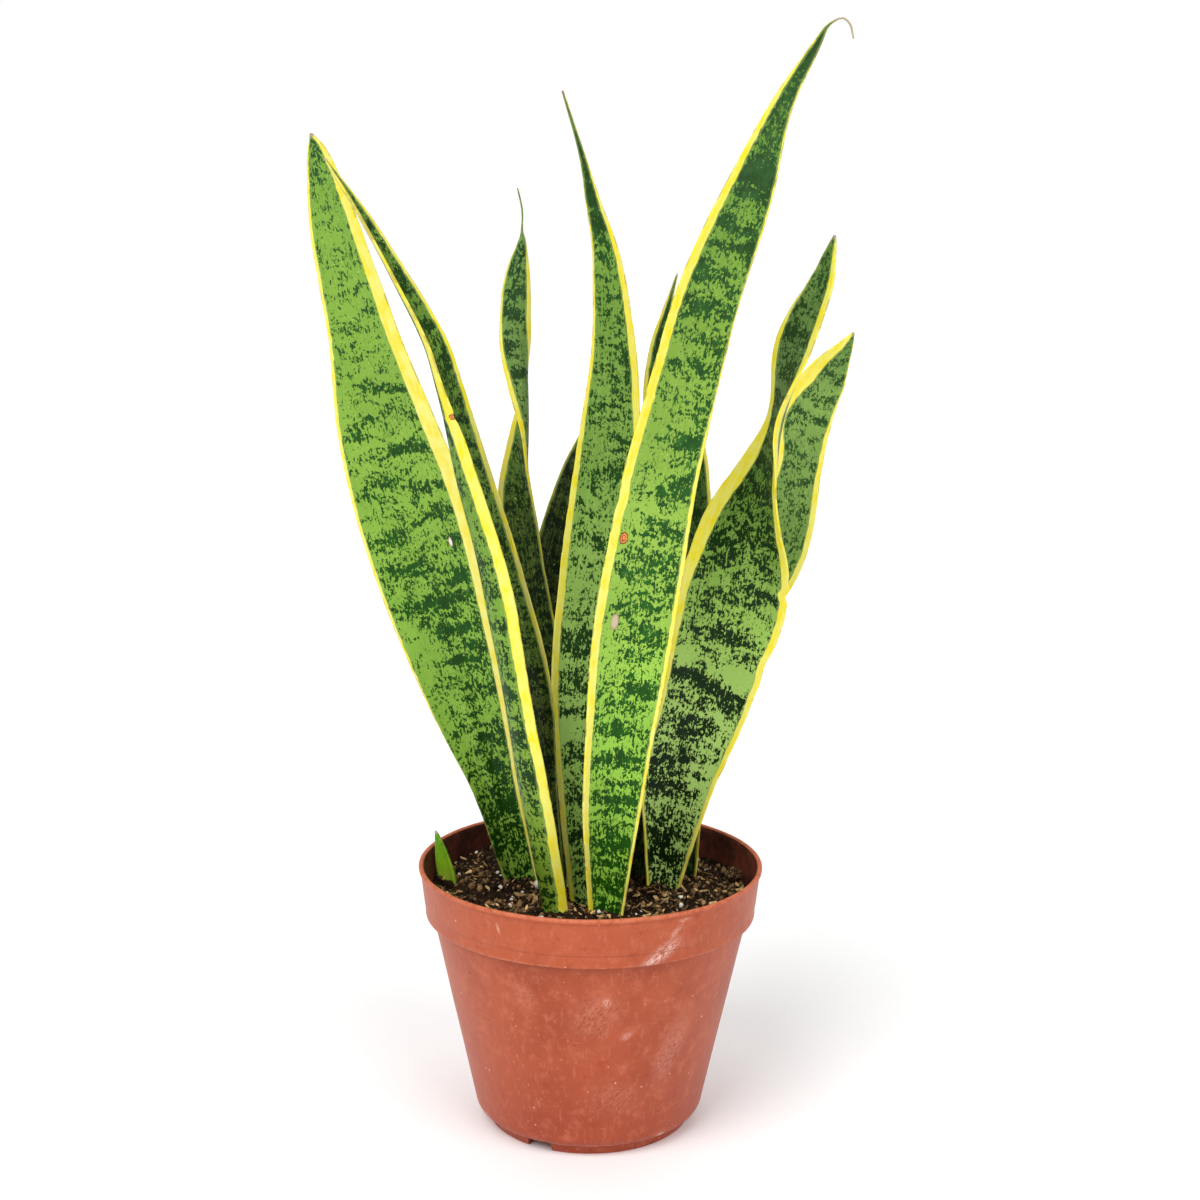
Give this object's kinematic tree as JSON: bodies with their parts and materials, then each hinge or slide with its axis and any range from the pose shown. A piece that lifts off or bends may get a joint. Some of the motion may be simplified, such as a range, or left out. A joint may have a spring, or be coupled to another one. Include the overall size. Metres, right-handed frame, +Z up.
{
  "type": "potted snake plant",
  "caption": "Upright variegated snake plant with stiff, banded, yellow-edged leaves, rooted in potting mix in a tapered round plastic nursery pot.",
  "frame": {"origin": "on the ground, on the pot's axis, at the middle of the centre foot under the pot", "axes": "+Z up the pot's axis, -Y towards the plant's front, +X to its right seen from the front"},
  "size_m": [0.236, 0.1524, 0.4738],
  "materials": {
    "pot_plastic": "matte, lightly scuffed",
    "potting_mix": "rough, crumbly",
    "rhizome_skin": "matt",
    "leaf_green": "waxy satin",
    "leaf_dark": "waxy satin",
    "leaf_young": "waxy satin"
  },
  "bodies": {
    "root": {"pot": "pot_plastic", "soil": "potting_mix", "rhizome": "rhizome_skin", "leaf_left_broad": "leaf_green", "leaf_left_folded": "leaf_green", "leaf_centre_slender": "leaf_green", "leaf_tall": "leaf_green", "leaf_right_twisted": "leaf_green", "leaf_right_back": "leaf_green", "leaf_back_twisted": "leaf_green", "leaf_back_dark": "leaf_dark", "leaf_back_narrow": "leaf_green", "pup_leaf": "leaf_young"}
  },
  "joints": []
}
